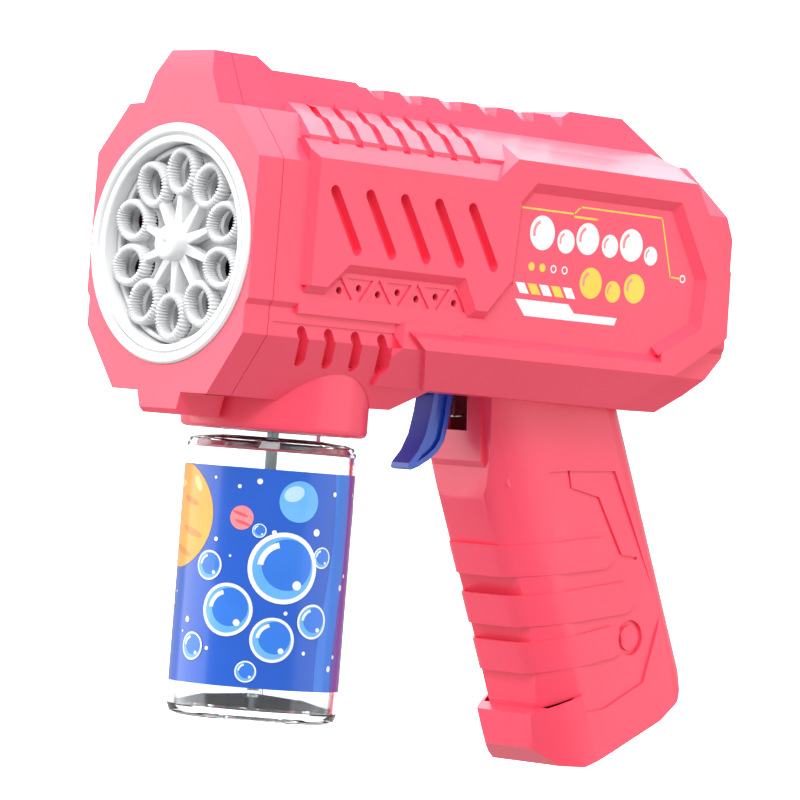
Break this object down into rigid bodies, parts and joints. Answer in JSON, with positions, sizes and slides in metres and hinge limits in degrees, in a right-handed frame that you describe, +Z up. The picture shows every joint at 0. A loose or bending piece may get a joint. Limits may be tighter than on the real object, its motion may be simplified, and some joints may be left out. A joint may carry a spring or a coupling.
{
  "type": "bubble machine",
  "caption": "Pistol-shaped battery bubble blower with a turning ribbed bubble wheel in front, a screw-in liquid bottle below, a trigger and a battery grip.",
  "frame": {"origin": "on the axis of the bubble wheel, in the plane of the front cover's face", "axes": "+X to the rear along the wheel axis, +Z up when held, +Y to the right-hand side away from the printed side"},
  "size_m": [0.1761, 0.0634, 0.1685],
  "materials": {
    "battery_case": "plain battery sleeve",
    "blue_plastic": "gloss moulded plastic",
    "brass": "turned",
    "clear_bottle": "clear PET",
    "clear_hose": "soft silicone",
    "copper_winding": "enamelled copper wire",
    "dark_plastic": "plain moulded plastic",
    "ferrite": "sintered ferrite",
    "gear_plastic": "natural acetal",
    "label_print": "printed film",
    "pink_shell": "satin moulded ABS",
    "red_plastic": "moulded plastic",
    "roller_plastic": "moulded plastic",
    "seal_rubber": "soft moulded rubber",
    "soap_liquid": "clear soap solution",
    "steel": "bright zinc plated",
    "white_plastic": "gloss moulded plastic",
    "wire_black": "PVC insulation",
    "wire_red": "PVC insulation"
  },
  "bodies": {
    "housing": {"left_shell": "pink_shell", "right_shell": "pink_shell", "front_cover": "pink_shell", "front_ring": "white_plastic", "wheel_backplate": "white_plastic", "gearbox_front_plate": "dark_plastic", "gearbox_rear_plate": "dark_plastic", "gearbox_posts": "dark_plastic", "idler_pin": "steel", "fan_shroud": "dark_plastic", "motor_can": "steel", "motor_magnets": "ferrite", "motor_end_cap": "white_plastic", "pump_housing": "dark_plastic", "pump_hose": "clear_hose", "feed_nozzle": "white_plastic", "bottle_socket": "pink_shell", "socket_seal": "seal_rubber", "dip_tube": "clear_hose", "trigger_pin": "steel", "trigger_spring": "steel", "switch_body": "dark_plastic", "switch_terminals": "brass", "battery_box": "dark_plastic", "battery_springs": "steel", "battery_plates": "brass", "batteries": "battery_case", "shell_screws": "steel", "wire_red": "wire_red", "wire_black": "wire_black"},
    "wheel": {"bubble_wheel": "white_plastic", "wheel_shaft": "steel", "wheel_gear": "gear_plastic"},
    "pump_drive": {"pump_gear": "gear_plastic", "pump_rotor": "roller_plastic", "pump_rollers": "white_plastic"},
    "idler": {"idler_gear": "gear_plastic"},
    "rotor": {"motor_pinion": "brass", "motor_shaft": "steel", "fan_impeller": "white_plastic", "armature": "copper_winding", "commutator": "copper_winding"},
    "bottle_unit": {"bottle": "clear_bottle", "bottle_label": "label_print", "bubble_liquid": "soap_liquid"},
    "trigger_body": {"trigger": "blue_plastic"},
    "switch_button": {"switch_plunger": "red_plastic"},
    "door": {"battery_door": "pink_shell", "door_screw": "steel"}
  },
  "joints": [
    {"name": "wheel_spin", "type": "hinge", "parent": "housing", "child": "wheel", "pos_m": [0, 0, 0], "axis": [1, 0, 0], "continuous": true},
    {"name": "pump_spin", "type": "hinge", "parent": "housing", "child": "pump_drive", "pos_m": [0, 0, 0.012], "axis": [1, 0, 0], "continuous": true},
    {"name": "idler_spin", "type": "hinge", "parent": "housing", "child": "idler", "pos_m": [0, 0.01039, 0.006], "axis": [1, 0, 0], "continuous": true},
    {"name": "motor_spin", "type": "hinge", "parent": "housing", "child": "rotor", "pos_m": [0, 0, 0], "axis": [1, 0, 0], "continuous": true},
    {"name": "bottle_release", "type": "slide", "parent": "housing", "child": "bottle_unit", "axis": [0, 0, -1], "range_m": [0, 0.08]},
    {"name": "trigger_pull", "type": "hinge", "parent": "housing", "child": "trigger_body", "pos_m": [0.091, 0, -0.024], "axis": [0, -1, 0], "range_deg": [0, 10], "stiffness_Nm_per_rad": 0.3, "springref_deg": -5.73, "deforming": ["trigger_spring"]},
    {"name": "switch_press", "type": "slide", "parent": "housing", "child": "switch_button", "axis": [0, 0, 1], "range_m": [0, 0.0028]},
    {"name": "door_off", "type": "slide", "parent": "housing", "child": "door", "axis": [0, 1, 0], "range_m": [0, 0.03]}
  ],
  "couplings": [
    {"joint": "pump_spin", "follows": "wheel_spin", "ratio": -3},
    {"joint": "idler_spin", "follows": "wheel_spin", "ratio": 9},
    {"joint": "motor_spin", "follows": "wheel_spin", "ratio": -27},
    {"joint": "switch_press", "follows": "trigger_pull", "m_per_rad": 0.0155}
  ]
}
